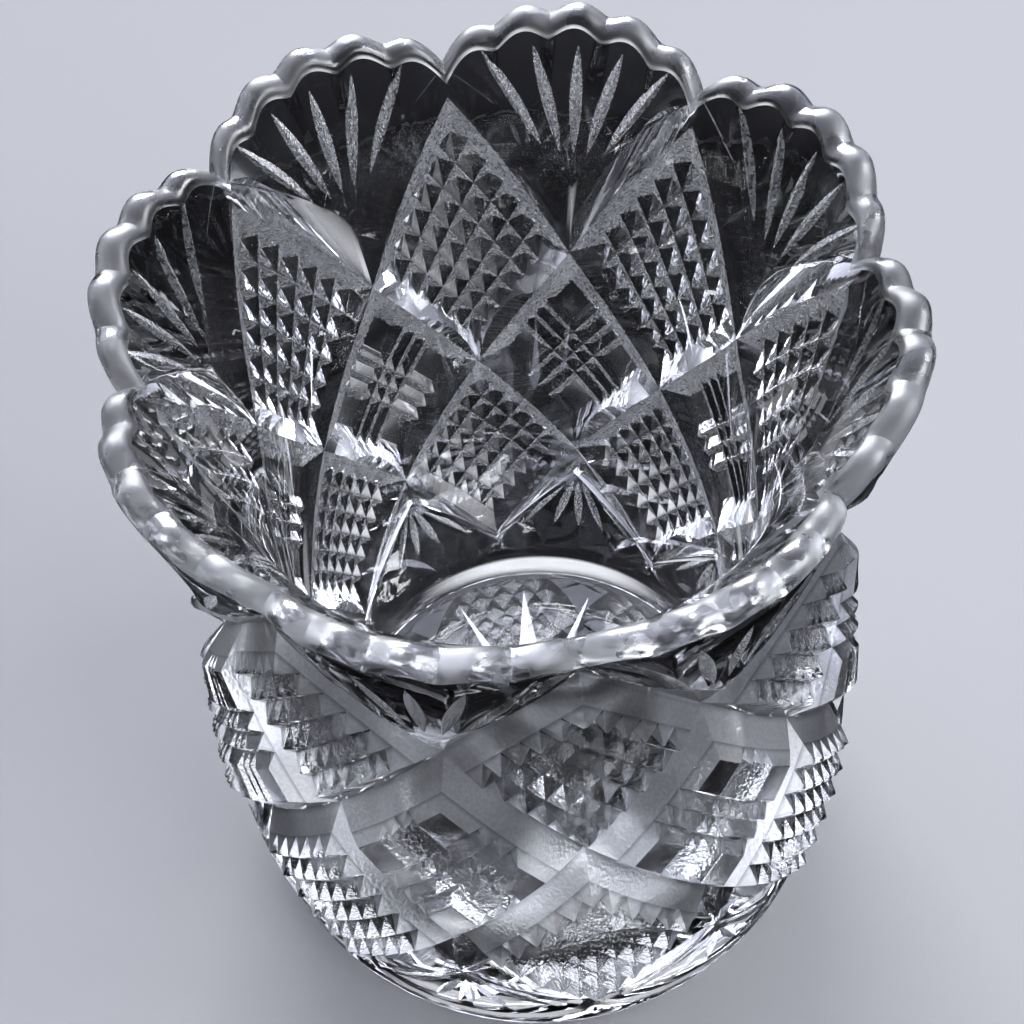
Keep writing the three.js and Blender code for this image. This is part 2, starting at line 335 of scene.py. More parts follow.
@dataclass
class LobeMesh:
    """The facets of one lobe, with corners that share a place kept as one."""

    weld: float = 1e-4
    frost_from: float = 0.02
    frost_span: float = 0.2
    corners: dict[tuple[int, ...], int] = field(default_factory=dict)
    points: Line = field(default_factory=list)
    faces: list[tuple[int, ...]] = field(default_factory=list)
    surfaces: list[Surface] = field(default_factory=list)
    depths: dict[int, float] = field(default_factory=dict)

    def corner(self, point: Point) -> int:
        """Finds the corner at a point, or adds it.

        Args:
            point: The point.

        Returns:
            The corner's index.
        """
        key = tuple(round(value / self.weld) for value in point)
        if key not in self.corners:
            self.corners[key] = len(self.points)
            self.points.append(point)
        return self.corners[key]

    def face(self, points: Sequence[Point], surface: Surface) -> None:
        """Adds a facet, unless its corners fall together.

        Args:
            points: Corners, anticlockwise as seen from outside the glass.
            surface: What formed the facet.
        """
        found: list[int] = []
        for point in points:
            index = self.corner(point)
            if index not in found:
                found.append(index)
        if len(found) > 2:
            self.faces.append(tuple(found))
            self.surfaces.append(surface)

    def sink(self, point: Point, depth: float) -> None:
        """Notes how deep in a groove a point lies, from 0 at a crest to 1 on a floor, for
        painted shade.
        """
        index = self.corner(point)
        self.depths[index] = max(depth, self.depths.get(index, 0.0))

    def band(self, first: Line, second: Line, surface: Surface) -> None:
        """Fills the strip between two lines that run the same way.

        Args:
            first: Line on the left, seen from the axis with both lines running down.
            second: Line on the right.
            surface: What formed the strip.
        """
        first_shares, second_shares = self.shares(first), self.shares(second)
        i = j = 0
        while i < len(first) - 1 or j < len(second) - 1:
            second_done = j == len(second) - 1
            first_left = i < len(first) - 1
            if second_done or (first_left and first_shares[i + 1] <= second_shares[j + 1]):
                self.face((first[i], second[j], first[i + 1]), surface)
                i += 1
            else:
                self.face((first[i], second[j], second[j + 1]), surface)
                j += 1

    @staticmethod
    def shares(line: Line) -> list[float]:
        """Measures how far along a line its points lie.

        Args:
            line: The line.

        Returns:
            For each point, its share of the line's length.
        """
        reached = [0.0]
        for before, after in zip(line, line[1:]):
            reached.append(reached[-1] + math.dist(before, after))
        return [length / (reached[-1] or 1.0) for length in reached]

    def make(self, name: str) -> bpy.types.Object:
        """Makes the lobe an object, in metres, with its grain and its painted groove shade as
        attributes.

        A ray is frosted all over, and any other facet only as far as it faces up.

        Args:
            name: Name of the object and its mesh.

        Returns:
            The new object, linked to the scene.
        """
        mesh = bpy.data.meshes.new(name)
        mesh.from_pydata([[MM * value for value in p] for p in self.points], [], self.faces)
        frost = []
        for face, surface in zip(mesh.polygons, self.surfaces):
            facing = (face.normal.z - self.frost_from) / self.frost_span
            facing = min(1.0, max(0.0, facing))
            frost.append(surface.value * (1.0 if surface is Surface.RAY else facing))
        # How deep each point lies in a groove: it drives the painted groove shade.
        depth = [self.depths.get(i, 0.0) for i in range(len(self.points))]
        rim = [1.0 if surface is Surface.RIM else 0.0 for surface in self.surfaces]
        for label, domain, values in (
            ("frost", "FACE", frost),
            ("rim", "FACE", rim),
            ("depth", "POINT", depth),
        ):
            mesh.attributes.new(label, "FLOAT", domain).data.foreach_set("value", values)
        made = bpy.data.objects.new(name, mesh)
        bpy.context.scene.collection.objects.link(made)
        return made


def rounded(knots: Samples, reach: float, floor_reach: float) -> Samples:
    """Softens the corners of a profile.

    Args:
        knots: Places and heights of the profile's corners.
        reach: How far before and after a corner the rounding starts.
        floor_reach: The same, at the two ends, which lie on groove floors.

    Returns:
        The softened profile, with three samples for each inner corner.
    """
    places = [place for place, _ in knots]
    heights = [height for _, height in knots]

    def at(place: float) -> float:
        """Returns the height of the profile at a place."""
        return float(np.interp(place, places, heights))

    samples = [knots[0], (places[0] + floor_reach, at(places[0] + floor_reach))]
    for place, height in knots[1:-1]:
        before, after = at(place - reach), at(place + reach)
        middle = mix(height, (before + after) / 2, 0.5)
        samples += [(place - reach, before), (place, middle), (place + reach, after)]
    samples += [(places[-1] - floor_reach, at(places[-1] - floor_reach)), knots[-1]]
    return samples


class Top(Enum):
    """How the top of a diamond is cut."""

    DOTTED = "a grid of points"
    HATCHED = "a few crossed grooves between plain corner blocks"


@dataclass(frozen=True)
class Diamond:
    """A raised diamond with V grooves cut across its top both ways, as steep as its sides."""

    lattice: Lattice
    relief: float = 2.2
    bevel: float = 2.35
    points_per_side: int = 6
    hatch_grooves: int = 3
    hatch_pitch: float = 1.56
    edge_rounding: float = 0.08
    # Relief under which the bevels darken with painted shade, fully at the groove floor.
    shaded_relief: float = 1.0

    @property
    def edge(self) -> float:
        """Width of a bevel, as a share of the way across."""
        return self.bevel / self.lattice.diamond_across

    def half_groove(self, top: Top) -> float:
        """Half the width of the small grooves, as a share of the way across."""
        tops = self.tops(top)
        return (tops[1][0] - tops[0][1]) / 2

    def tops(self, top: Top) -> Samples:
        """What stands between the V grooves along a side.

        Args:
            top: How the diamond is cut.

        Returns:
            The start and end of each top, as shares of the side.
        """
        bevel = self.edge
        if top is Top.DOTTED:
            tips = [mix(bevel, 1 - bevel, t) for t in steps(self.points_per_side - 1)]
            return [(tip, tip) for tip in tips]
        pitch = self.hatch_pitch / self.lattice.diamond_across
        block = (1 - self.hatch_grooves * pitch) / 2
        ridges = [mix(block, 1 - block, t) for t in steps(self.hatch_grooves)[1:-1]]
        return [(bevel, block), *((tip, tip) for tip in ridges), (1 - block, 1 - bevel)]

    def profile(self, top: Top) -> Samples:
        """Section across the diamond, from one groove floor to the opposite one.

        Args:
            top: How the diamond is cut.

        Returns:
            Shares of the way across, and the relief there.
        """
        tops = self.tops(top)
        half_groove = self.half_groove(top)
        bed = self.relief * (1 - half_groove / self.edge)
        knots: Samples = [(0.0, 0.0)]
        for start, end in tops:
            knots.append((start - half_groove, bed))
            knots += [(place, self.relief) for place in sorted({start, end})]
        knots += [(tops[-1][1] + half_groove, bed), (1.0, 0.0)]
        across = self.lattice.diamond_across
        return rounded(knots, self.edge_rounding / across, self.lattice.groove_rounding / across)

    def build(self, mesh: LobeMesh, column: float, level: float, top: Top) -> None:
        """Adds the diamond that is centred on a place of the lattice.

        Args:
            mesh: Where the facets go.
            column: Column of the centre.
            level: Level of the centre.
            top: How the diamond is cut.
        """
        inner = self.profile(top)[1:-1]

        def at(u: float, v: float, relief: float) -> Point:
            """Returns the point at two shares of the way across the diamond."""
            return self.lattice.place(column + u - v, level - 1 + u + v, relief)

        grid = [[at(u, v, min(hu, hv)) for v, hv in inner] for u, hu in inner]
        for i in range(len(inner) - 1):
            for j in range(len(inner) - 1):
                self.cell(mesh, grid, inner, i, j)
        # How deep each point lies, for the painted shade: the top's small grooves by how far
        # they sink below it, the rest by how low it stands.
        half_groove = self.half_groove(top)
        lowest = self.edge - half_groove - TINY
        for row, (u, hu) in zip(grid, inner):
            for point, (v, hv) in zip(row, inner):
                sunk = self.relief - min(hu, hv)
                if min(u, v) > lowest and max(u, v) < 1 - lowest:
                    mesh.sink(point, min(1.0, sunk * self.edge / self.relief / half_groove))
                else:
                    mesh.sink(point, max(0.0, 1 - min(hu, hv) / self.shaded_relief))
        floor = steps(self.lattice.groove_steps)
        last = len(inner) - 1
        sides = (
            ([row[0] for row in grid], [at(t, 0, 0) for t in floor]),
            (grid[last], [at(1, t, 0) for t in floor]),
            ([row[last] for row in grid][::-1], [at(1 - t, 1, 0) for t in floor]),
            (grid[0][::-1], [at(0, 1 - t, 0) for t in floor]),
        )
        for line, groove in sides:
            mesh.band(line, groove, Surface.CUT)
            # Groove floors take the full painted shade.
            for point in groove:
                mesh.sink(point, 1.0)

    def cell(self, mesh: LobeMesh, grid: list[Line], inner: Samples, i: int, j: int) -> None:
        """Adds one cell of the grid, split along the hip or valley that crosses it.

        Args:
            mesh: Where the facets go.
            grid: Points of the diamond.
            inner: Profile that the grid was laid from.
            i: Place of the cell one way.
            j: Place of the cell the other way.
        """
        first, last = min(inner[i][0], inner[j][0]), max(inner[i + 1][0], inner[j + 1][0])
        on_top = first > self.edge - TINY and last < 1 - self.edge + TINY
        surface = Surface.POINT if on_top else Surface.CUT
        a, b = grid[i][j], grid[i + 1][j]
        c, d = grid[i + 1][j + 1], grid[i][j + 1]
        low, high = inner[i][1], inner[i + 1][1]
        near, far = inner[j][1], inner[j + 1][1]
        true_middle = min((low + high) / 2, (near + far) / 2)
        along = (min(low, near) + min(high, far)) / 2
        across = (min(high, near) + min(low, far)) / 2
        if abs(along - true_middle) <= abs(across - true_middle):
            mesh.face((a, b, c), surface)
            mesh.face((a, c, d), surface)
        else:
            mesh.face((a, b, d), surface)
            mesh.face((b, c, d), surface)


@dataclass(frozen=True)
class Fan:
    """A raised panel that widens from an apex, with bevelled sides and sunk rays.

    Heights are taken from the fan's crossing, towards its far edge. Left and right are as
    seen from the axis.
    """

    lattice: Lattice
    crossing_level: float
    relief: float
    notch_relief: float
    mitre: float
    notch_height: float
    focus: float
    lean: float
    ray_inset: float
    ray_margin: float
    opens_down: bool
    edge_height: Callable[[float], float]
    edge_relief: Callable[[float], float]
    edge_gap: float = 0.35
    fullness: float = 0.8
    rays: int = 5
    ray_width: float = 0.9
    ray_depth: float = 0.45
    ray_fullness: float = 0.7
    across_ray: tuple[float, ...] = (-1.0, -0.5, TINY, 0.5, 1.0)
    flank_shares: tuple[float, ...] = (0.0, 0.35, 0.7)
    crest_rounding: float = 0.45
    crest_drop: float = 0.25
    thread: float = 0.03
    lead_steps: int = 3
    ray_steps: int = 10
    tail_steps: int = 4
    side_steps: int = 6
    edge_tries: int = 30

    def bulge(self, share: float) -> float:
        """Relief of the panel across it, from its middle to the end of its crest."""
        full = max(0.0, math.cos(math.pi / 2 * share)) ** self.fullness
        return mix(self.notch_relief, self.relief, full)

    def at(self, column: float, aside: float, height: float, relief: float) -> Point:
        """Places a point of the fan.

        Args:
            column: Column of the fan's middle.
            aside: Columns aside from the middle.
            height: Height from the crossing, towards the far edge.
            relief: Relief over the groove floor.

        Returns:
            The point.
        """
        sign = 1 if self.opens_down else -1
        level = self.crossing_level + sign * height / self.lattice.pitch
        return self.lattice.place(column + aside, level, relief)

    def crest_height(self, share: float) -> float:
        """Returns the crest's height at a share of the way from the apex to its end."""
        return mix(self.mitre, self.notch_height, share)

    def bevel_lines(self, column: float, side: int) -> list[Line]:
        """Lays the lines of a bevel, from the groove floor to the crest.

        Args:
            column: Column of the fan's middle.
            side: -1 for the left side, 1 for the right.

        Returns:
            The lines, each from the crossing's end to the far end.
        """
        shares = steps(self.lattice.groove_steps)
        widest = self.mitre
        inner = (self.lattice.groove_rounding / widest, 1 - self.crest_rounding / widest)
        lines = []
        for across in (0.0, *inner, 1.0):
            drop = self.crest_drop * self.crest_rounding if across == 1.0 else 0.0
            lines.append(
                [
                    self.at(
                        column,
                        side * t,
                        mix(t * self.lattice.pitch, self.crest_height(t), across),
                        max(0.0, self.bulge(t) * across - drop * (1 - t)),
                    )
                    for t in shares
                ]
            )
        return lines

    def spokes(self) -> list[tuple[float, float]]:
        """Directions of the panel's lines, and how far aside of a ray each one runs.

        Returns:
            For each line, its lean and its place across a ray: -1 to 1, or 0 off the rays.
        """
        width = self.lattice.column_width
        widest = math.degrees(math.atan2(width, self.notch_height - self.focus))
        turns = [mix(-self.lean, self.lean, t) for t in steps(self.rays - 1)]
        found = [(mix(-widest, -self.lean, t), 0.0) for t in self.flank_shares]
        for i, turn in enumerate(turns):
            if i:
                found.append(((turn + turns[i - 1]) / 2, 0.0))
            found += [(turn, across) for across in self.across_ray]
        found += [(mix(widest, self.lean, t), 0.0) for t in self.flank_shares[::-1]]
        return found

    def reach(self, slope: float) -> tuple[float, float]:
        """Finds where a line of the panel starts and ends.

        Args:
            slope: Columns aside for each millimetre away from the focus.

        Returns:
            Its height just inside the crest, and just inside the far edge or the side.
        """
        rise = abs(slope) * (self.notch_height - self.mitre)
        if rise > 1 - TINY:
            return self.notch_height, self.notch_height
        inner = (self.mitre - rise * self.focus) / (1 - rise) + self.crest_rounding
        gap = self.edge_gap / self.lattice.column_width
        side = self.focus + (1 - gap) / max(abs(slope), TINY)
        outer = inner
        for _ in range(self.edge_tries):
            outer = self.edge_height(slope * (outer - self.focus)) - self.edge_gap
        outer = min(outer, side)
        return (inner, outer) if inner < outer else (self.notch_height, self.notch_height)

    def panel_relief(self, aside: float, height: float) -> float:
        """Finds the relief of the panel, which runs from its crest to its far edge.

        Args:
            aside: Columns aside from the fan's middle.
            height: Height from the crossing.

        Returns:
            The relief.
        """
        share = min(1.0, abs(aside))
        crest = self.crest_height(share)
        edge = self.edge_height(aside)
        rise = (height - crest) / (edge - crest) if edge > crest else 1.0
        return mix(self.bulge(share), self.edge_relief(share), min(1.0, max(0.0, rise)))

    def spoke(self, column: float, lean: float, across: float) -> Line:
        """Lays one line of the panel from its crest to its far edge.

        Args:
            column: Column of the fan's middle.
            lean: Lean of the line from the fan's middle, in degrees.
            across: Place across a ray, -1 to 1, and 0 off the rays.

        Returns:
            The points of the line.
        """
        width = self.lattice.column_width
        slope = math.tan(math.radians(lean)) / width
        inner, outer = self.reach(slope)
        start = min(max(self.mitre + self.ray_inset, inner), outer)
        end = max(min(self.edge_height(0) - self.ray_margin, outer), start)
        heights = [mix(inner, start, t) for t in steps(self.lead_steps)[:-1]]
        heights += [mix(start, end, t) for t in steps(self.ray_steps)]
        heights += [mix(end, outer, t) for t in steps(self.tail_steps)[1:]]
        line = []
        for height in heights:
            along = (height - start) / (end - start) if end > start else 0.0
            swell = math.sin(math.pi * min(1.0, max(0.0, along))) ** self.ray_fullness
            half = max(self.thread, swell * self.ray_width / 2)
            aside = slope * (height - self.focus) + across * half / width
            sunk = swell * self.ray_depth * (1 - abs(across)) if across else 0.0
            line.append(self.at(column, aside, height, self.panel_relief(aside, height) - sunk))
        return line

    def side_line(self, column: float, side: int) -> Line:
        """Lays the line between two fans, from the end of the crest to the far edge.

        Args:
            column: Column of the fan's middle.
            side: -1 for the left side, 1 for the right.

        Returns:
            The points, or none where the crest ends at the far edge.
        """
        far = self.edge_height(side)
        if far - self.notch_height < self.edge_gap:
            return []
        heights = [mix(self.notch_height, far, t) for t in steps(self.side_steps)[:-1]]
        return [self.at(column, side, h, self.panel_relief(side, h)) for h in heights]

    def build(self, mesh: LobeMesh, column: float, edge: Line) -> None:
        """Adds the fan.

        Args:
            mesh: Where the facets go.
            column: Column of the fan's middle.
            edge: The far edge, from left to right, which the panel runs out to.
        """
        left = self.bevel_lines(column, -1)
        right = self.bevel_lines(column, 1)
        self.lay(mesh, left)
        self.lay(mesh, right[::-1])
        spokes = self.spokes()
        lines = [self.spoke(column, lean, across) for lean, across in spokes]
        ray_start = self.lead_steps
        ray_end = ray_start + self.ray_steps
        for i in range(len(lines) - 1):
            in_ray = spokes[i][1] != 0 and spokes[i + 1][1] != 0
            surface = Surface.RAY if in_ray else Surface.MOULDED
            pair = lines[i : i + 2]
            self.lay(mesh, [line[: ray_start + 1] for line in pair])
            self.lay(mesh, [line[ray_start : ray_end + 1] for line in pair], surface)
            self.lay(mesh, [line[ray_end:] for line in pair])
        crest = left[-1][::-1] + right[-1][1:]
        far = [*self.side_line(column, -1), *edge, *self.side_line(column, 1)[::-1]]
        bands = ((crest, [line[0] for line in lines]), ([line[-1] for line in lines], far))
        for near, away in bands:
            upper, lower = (near, away) if self.opens_down else (away, near)
            mesh.band(lower, upper, Surface.MOULDED)

    def lay(
        self, mesh: LobeMesh, lines: Sequence[Line], surface: Surface = Surface.MOULDED
    ) -> None:
        """Fills between lines that run from the crossing.

        Args:
            mesh: Where the facets go.
            lines: The lines, from left to right.
            surface: What formed them.
        """
        for first, second in zip(lines, lines[1:]):
            pair = (first, second) if self.opens_down else (second, first)
            for i in range(len(first) - 1):
                a, b = pair[0][i], pair[1][i]
                c, d = pair[1][i + 1], pair[0][i + 1]
                mesh.face((a, b, c), surface)
                mesh.face((a, c, d), surface)


@dataclass(frozen=True)
class Rim:
    """The lobed rim, edged with scallops and rounded over into the well."""

    lattice: Lattice
    notch_height: float = 61.0
    lobe_rise: float = 2.3
    fullness: float = 0.75
    scallops: int = 5
    scallop_rise: float = 0.6
    scallop_softness: float = 0.2
    scallop_bulge: float = 0.2
    rounding: float = 0.9
    steps_per_scallop: int = 12
    arc_steps: int = 14

    def scallop(self, share: float) -> float:
        """Finds how far a scallop has risen.

        Args:
            share: Share of the way round the lobe.

        Returns:
            The rise, from 0 to 1.
        """
        wave = math.sin(math.pi * share * self.scallops)
        soft = self.scallop_softness
        return (math.sqrt(wave**2 + soft**2) - soft) / (math.sqrt(1 + soft**2) - soft)

    def height(self, aside: float) -> float:
        """Finds the height of the outer edge.

        Args:
            aside: Columns aside from the lobe's middle, from -1 to 1.

        Returns:
            The height.
        """
        share = min(1.0, max(0.0, (aside + 1) / 2))
        lobe = max(0.0, math.sin(math.pi * share)) ** self.fullness
        top = self.notch_height + self.lobe_rise * lobe + self.scallop_rise * self.scallop(share)
        return top - self.rounding

    def asides(self) -> list[float]:
        """Returns the places of the edge's points, aside from a lobe's middle."""
        return [2 * t - 1 for t in steps(self.scallops * self.steps_per_scallop)]

    def edge(self, column: float, relief: Callable[[float], float]) -> Line:
        """Lays the outer edge of a lobe.

        Args:
            column: Column of the lobe's middle.
            relief: Relief of the edge by its share of the way to the notch.

        Returns:
            The points from left to right.
        """
        return [
            self.lattice.place(
                column + aside, self.lattice.level_at(self.height(aside)), relief(abs(aside))
            )
            for aside in self.asides()
        ]

    def rings(self, column: float, edge: Line) -> list[Line]:
        """Rounds the edge over to the well.

        Args:
            column: Column of the lobe's middle.
            edge: The outer edge, from left to right.

        Returns:
            Lines from the edge over the top to the well.
        """
        wall = self.lattice.wall
        rings = [edge]
        for t in steps(self.arc_steps)[1:]:
            turn = math.pi * t
            ring = []
            for aside, (x, y, z) in zip(self.asides(), edge):
                outer = math.hypot(x, y)
                inner = wall.well_radius(z)
                middle = (outer + inner) / 2
                swell = self.scallop_bulge * self.scallop((aside + 1) / 2) * math.sin(turn)
                radius = middle + (outer - middle) * math.cos(turn)
                radius += swell * math.cos(turn)
                top = z + self.rounding * math.sin(turn)
                ring.append(self.lattice.polar(radius, column + aside, top))
            rings.append(ring)
        return rings


@dataclass(frozen=True)
class Well:
    """The smooth inside, down to the fillet and the floor."""

    lattice: Lattice
    top: float = 59.0
    fillet: float = 1.8
    columns: int = 24
    flare_steps: int = 10
    draft_steps: int = 8
    fillet_steps: int = 8
    floor_rings: int = 5

    def ring(self, column: float, radius: float, z: float) -> Line:
        """Returns an arc of the well, from left to right."""
        return self.lattice.arc(column, radius, z, self.columns)

    def rings(self, column: float) -> list[Line]:
        """Lays the inside from under the rim to the middle of the floor.

        Args:
            column: Column of the lobe's middle.

        Returns:
            Lines from left to right, the last one a single point.
        """
        wall = self.lattice.wall
        fillet_top = wall.floor_thickness + self.fillet
        heights = [mix(self.top, wall.waist_height, t) for t in steps(self.flare_steps)]
        heights += [mix(wall.waist_height, fillet_top, t) for t in steps(self.draft_steps)[1:]]
        rings = [self.ring(column, wall.well_radius(z), z) for z in heights]
        foot = wall.well_radius(fillet_top) - self.fillet
        for t in steps(self.fillet_steps)[1:]:
            turn = math.pi / 2 * t
            radius = foot + self.fillet * math.cos(turn)
            rings.append(self.ring(column, radius, fillet_top - self.fillet * math.sin(turn)))
        for t in steps(self.floor_rings)[1:-1]:
            rings.append(self.ring(column, foot * (1 - t), wall.floor_thickness))
        rings.append([(0.0, 0.0, wall.floor_thickness)])
        return rings


@dataclass(frozen=True)
class Foot:
    """The rounded foot, the ring that it stands on, and the star pressed into its recess."""

    lattice: Lattice
    edge_height: float = 2.6
    edge_relief: float = 1.3
    edge_rounding: float = 1.9
    ring_width: float = 3.4
    recess_depth: float = 0.9
    recess_chamfer: float = 0.6
    star_rays_per_lobe: int = 2
    star_margin: float = 2.4
    star_waist: float = 6.4
    star_depth: float = 1.0
    star_turn: float = 6.0
    columns: int = 24
    arc_steps: int = 8

    @property
    def radius(self) -> float:
        """Radius of the foot at its edge."""
        return self.lattice.groove_radius(self.edge_height) + self.edge_relief

    def arc(self, column: float, radius: float, z: float) -> Line:
        """Returns an arc of the foot, from left to right."""
        return self.lattice.arc(column, radius, z, self.columns)

    def rings(self, column: float) -> list[Line]:
        """Lays the foot from its edge, under the standing ring, to the recess.

        Args:
            column: Column of the lobe's middle.

        Returns:
            Lines from left to right.
        """
        rings = [self.arc(column, self.radius, self.edge_height)]
        for t in steps(self.arc_steps)[1:]:
            turn = math.pi / 2 * t
            radius = self.radius - self.edge_rounding * (1 - math.cos(turn))
            rings.append(self.arc(column, radius, self.edge_height * (1 - math.sin(turn))))
        inner = self.radius - self.edge_rounding - self.ring_width
        rings.append(self.arc(column, inner, 0.0))
        rings.append(self.arc(column, inner - self.recess_chamfer, self.recess_depth))
        return rings

    def build(self, mesh: LobeMesh, column: float) -> None:
        """Adds the foot and the lobe's share of the star.

        Args:
            mesh: Where the facets go.
            column: Column of the lobe's middle.
        """
        rings = self.rings(column)
        for outer, inner in zip(rings, rings[1:]):
            mesh.band(inner, outer, Surface.POLISHED)
        recess = self.radius - self.edge_rounding - self.ring_width - self.recess_chamfer
        turn = math.radians(self.star_turn) / self.lattice.half_lobe
        spacing = 2 / self.star_rays_per_lobe

        def star(radius: float, ray: float, z: float) -> Point:
            """Returns a point of the star, counted in rays round the lobe."""
            return self.lattice.polar(radius, column - 1 + turn + ray * spacing, z)

        tips = [star(recess - self.star_margin, ray, self.recess_depth) for ray in (0, 1, 2)]
        waists = [star(self.star_waist, ray - 0.5, self.recess_depth) for ray in range(4)]
        beds = [star(self.star_waist, r, self.recess_depth + self.star_depth) for r in (0, 1)]
        centre = (0.0, 0.0, self.recess_depth + self.star_depth / 2)
        outline = [tips[0], waists[1], tips[1], waists[2], tips[2]]
        mesh.band(outline, rings[-1], Surface.POLISHED)
        for ray, bed in enumerate(beds):
            mesh.band([bed], [waists[ray], tips[ray], waists[ray + 1]], Surface.MOULDED)
            mesh.band([centre], [waists[ray], bed, waists[ray + 1]], Surface.MOULDED)


@dataclass(frozen=True)
class PressedGlass:
    """Clear pressed glass: fire-polished where smooth, grainy where the mould was cut."""

    name: str = "clear_pressed_glass"
    colour: Colour = (0.97, 0.98, 0.985, 1.0)
    ior: float = 1.52
    smooth_roughness: float = 0.02
    frost_roughness: float = 0.42
    pit_roughness: float = 0.24
    rim_roughness: tuple[float, float] = (0.2, 0.48)
    ripple_scale: float = 420.0
    ripple_span: tuple[float, float] = (0.4, 0.6)
    outer_roughness: float = 0.3
    point_roughness: float = 0.06
    pit_colour: Colour = (0.8, 0.81, 0.83, 1.0)
    pit_span: tuple[float, float] = (0.56, 0.44)
    # Painted shade laid into the grooves between the points, and the depths where it starts and
    # where it is full.
    groove_shade_colour: Colour = (0.3, 0.31, 0.34, 1.0)
    groove_shade_span: tuple[float, float] = (0.7, 1.0)
    grain_scale: float = 3600.0
    grain_height: float = 0.00012
    inner_grain: float = 0.8
    outer_grain: float = 0.45

    def make(self) -> bpy.types.Material:
        """Makes the material.

        Returns:
            The glass, whose roughness and stipple follow the facets' grain, and whose colour
            carries painted shade in the grooves.
        """
        material = bpy.data.materials.new(self.name)
        material.use_nodes = True
        shader = material.node_tree.nodes["Principled BSDF"]
        wiring = Wiring(material.node_tree)
        frost = wiring.attribute("frost")
        place = wiring.add("ShaderNodeTexCoord").outputs["Object"]
        inside = wiring.add("ShaderNodeNewGeometry").outputs["Backfacing"]
        stipple = wiring.noise(place, self.grain_scale)
        cut = wiring.ranged(frost, (Surface.RIM.value, Surface.POINT.value))
        pits = wiring.ranged(stipple, self.pit_span, how="SMOOTHSTEP")
        pits = wiring.math("MULTIPLY", pits, cut)
        outer_cut = wiring.math("MULTIPLY", wiring.math("SUBTRACT", 1.0, inside), cut)
        rough = self.facet_roughness(wiring, frost, pits, outer_cut)
        wiring.feed(
            shader,
            {
                "IOR": self.ior,
                "Transmission Weight": 1.0,
                # Base colour: tinted pits, with painted shade darkening the grooves.
                "Base Color": self.pit_tint_and_groove_shade(wiring, pits),
                "Roughness": self.with_rim(wiring, place, rough),
                "Normal": self.grain(wiring, stipple, inside, cut),
            },
        )
        return material

    def pit_tint_and_groove_shade(self, wiring: Wiring, pits: Socket) -> Socket:
        """Tints the pits, and paints shade into the grooves between the points: the deeper a
        point lies, the darker.

        Args:
            wiring: The material's nodes.
            pits: Where the pits of the cut facets are.

        Returns:
            The colour, with the painted groove shade.
        """
        tinted = wiring.blend(pits, self.colour, self.pit_colour)
        # Painted shade: the colour darkens towards the groove floors, by how deep each point
        # lies.
        depth = wiring.attribute("depth")
        groove = wiring.ranged(depth, self.groove_shade_span, how="SMOOTHSTEP")
        return wiring.blend(groove, tinted, self.groove_shade_colour)

    def facet_roughness(
        self, wiring: Wiring, frost: Socket, pits: Socket, outer_cut: Socket
    ) -> Socket:
        """Frosts the facets: pitted from inside the glass, and clear on the points outside.

        Args:
            wiring: The material's nodes.
            frost: Grain of each facet.
            pits: Where the pits of the cut facets are.
            outer_cut: Where a cut facet is met from outside.

        Returns:
            The roughness, apart from the rim's.
        """
        inner = wiring.ranged(pits, to=(self.frost_roughness, self.pit_roughness))
        outer = wiring.ranged(
            frost,
            (Surface.POINT.value, Surface.CUT.value),
            (self.point_roughness, self.outer_roughness),
        )
        either = wiring.ranged(outer_cut, to=(inner, outer))
        return wiring.ranged(frost, to=(self.smooth_roughness, either))

    def with_rim(self, wiring: Wiring, place: Socket, rough: Socket) -> Socket:
        """Gives the rim its own, uneven frost.

        Args:
            wiring: The material's nodes.
            place: Object coordinates.
            rough: Roughness of the other facets.

        Returns:
            The roughness all over.
        """
        ripple = wiring.noise(place, self.ripple_scale)
        uneven = wiring.ranged(ripple, self.ripple_span, self.rim_roughness)
        return wiring.ranged(wiring.attribute("rim"), to=(rough, uneven))

    def grain(self, wiring: Wiring, stipple: Socket, inside: Socket, cut: Socket) -> Socket:
        """Raises the stipple of the cut facets.

        Args:
            wiring: The material's nodes.
            stipple: The stipple.
            inside: Where a facet is met from inside the glass.
            cut: Where the mould was cut.

        Returns:
            The normal.
        """
        strength = wiring.ranged(inside, to=(self.outer_grain, self.inner_grain))
        feeds = {
            "Strength": wiring.math("MULTIPLY", strength, cut),
            "Distance": self.grain_height,
            "Height": stipple,
        }
        return wiring.add("ShaderNodeBump", feeds).outputs["Normal"]


